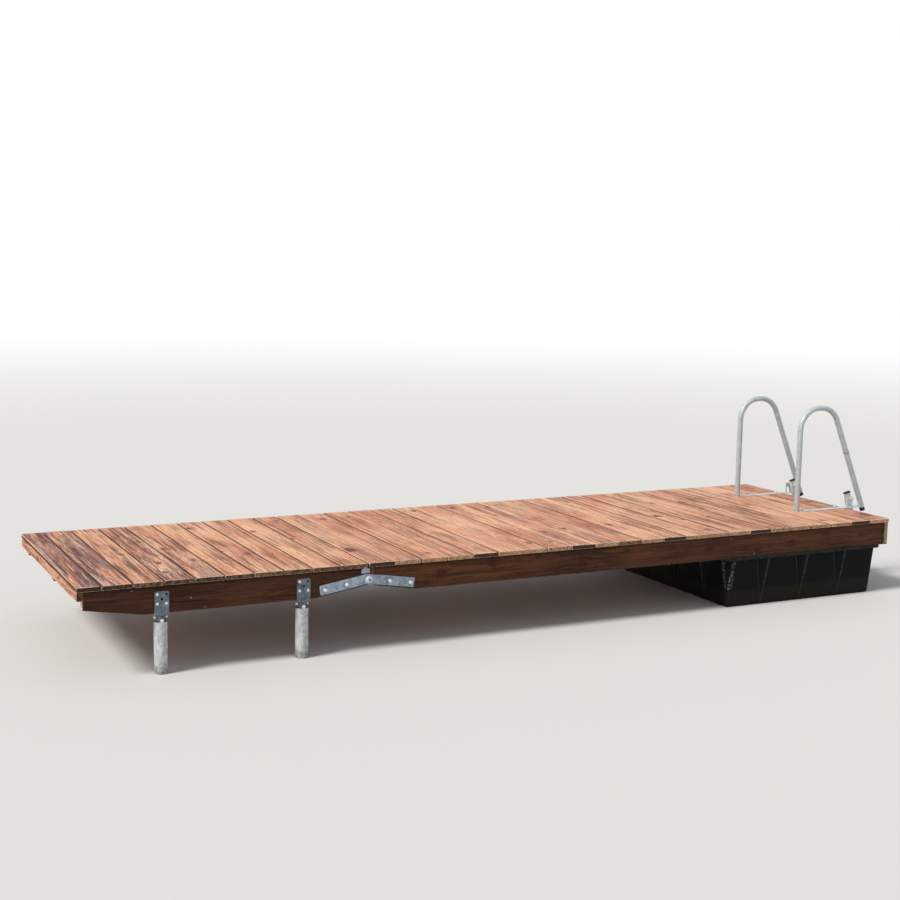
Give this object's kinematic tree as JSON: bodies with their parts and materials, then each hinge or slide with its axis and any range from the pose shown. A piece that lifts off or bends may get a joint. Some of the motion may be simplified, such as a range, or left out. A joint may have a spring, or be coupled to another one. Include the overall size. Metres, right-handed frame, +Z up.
{
  "type": "wooden jetty",
  "caption": "Short wooden bathing jetty: a shore section on ground screws hinged to a floating section with a plastic float and a swim ladder with hoops.",
  "frame": {"origin": "on the level that the ground screws and the float stand on, under the middle of the jetty", "axes": "+X along the jetty from the bank to the lake end, +Y across it to the far side, +Z up"},
  "size_m": [5.1256, 1.46, 1.1178],
  "materials": {
    "deck_boards": "red-brown stain on smooth planed softwood boards, grain showing",
    "frame_timber": "dark red-brown stain on planed softwood",
    "galvanised_plate": "hot-dip galvanised flat bar, dull grey with faint spangle",
    "galvanised_tube": "hot-dip galvanised tube, pale grey",
    "bright_fixings": "zinc plated bolts and nuts",
    "float_plastic": "black moulded polyethylene, satin",
    "black_fittings": "black moulded plastic",
    "tread_plastic": "ribbed dark grey moulded plastic"
  },
  "bodies": {
    "shore_section": {"shore_deck_boards": "deck_boards", "shore_stringer_near": "frame_timber", "shore_stringer_middle": "frame_timber", "shore_stringer_far": "frame_timber", "shore_end_fascia": "frame_timber", "shore_hinge_noggins": "frame_timber", "shore_middle_noggins": "frame_timber", "shore_hinge_arm_near": "galvanised_plate", "shore_hinge_arm_far": "galvanised_plate", "hinge_pivot_nut_near": "bright_fixings", "hinge_pivot_nut_far": "bright_fixings", "hinge_corner_plates": "galvanised_plate", "ground_screw_shore_near": "galvanised_tube", "ground_screw_shore_far": "galvanised_tube", "ground_screw_lake_near": "galvanised_tube", "ground_screw_lake_far": "galvanised_tube", "screw_bracket_shore_near": "galvanised_plate", "screw_bracket_shore_far": "galvanised_plate", "screw_bracket_lake_near": "galvanised_plate", "screw_bracket_lake_far": "galvanised_plate", "screw_height_bolts": "bright_fixings"},
    "float_section": {"float_deck_boards": "deck_boards", "float_stringer_near": "frame_timber", "float_stringer_middle": "frame_timber", "float_stringer_far": "frame_timber", "lake_end_fascia": "frame_timber", "float_hinge_noggins": "frame_timber", "float_middle_noggins": "frame_timber", "float_seat_noggins": "frame_timber", "float_hinge_arm_near": "galvanised_plate", "float_hinge_arm_far": "galvanised_plate", "plastic_float": "float_plastic", "ladder_hoop_near": "galvanised_tube", "ladder_hoop_far": "galvanised_tube", "ladder_base_bar_near": "galvanised_plate", "ladder_base_bar_far": "galvanised_plate", "ladder_lug_near": "galvanised_plate", "ladder_lug_far": "galvanised_plate", "hoop_end_plugs": "galvanised_plate", "ladder_pivot_bolts": "bright_fixings"},
    "ladder_flight": {"ladder_rail_near": "galvanised_tube", "ladder_rail_far": "galvanised_tube", "ladder_latch_levers": "black_fittings", "ladder_tread_lower": "tread_plastic", "ladder_tread_upper": "tread_plastic"}
  },
  "joints": [
    {"name": "deck_hinge", "type": "hinge", "parent": "shore_section", "child": "float_section", "pos_m": [-1.09828, 0, 0.378], "axis": [0, 1, 0], "range_deg": [-5, 12]},
    {"name": "ladder_fold", "type": "hinge", "parent": "float_section", "child": "ladder_flight", "pos_m": [2.39872, 0, 0.518], "axis": [0, -1, 0], "range_deg": [0, 250]}
  ]
}
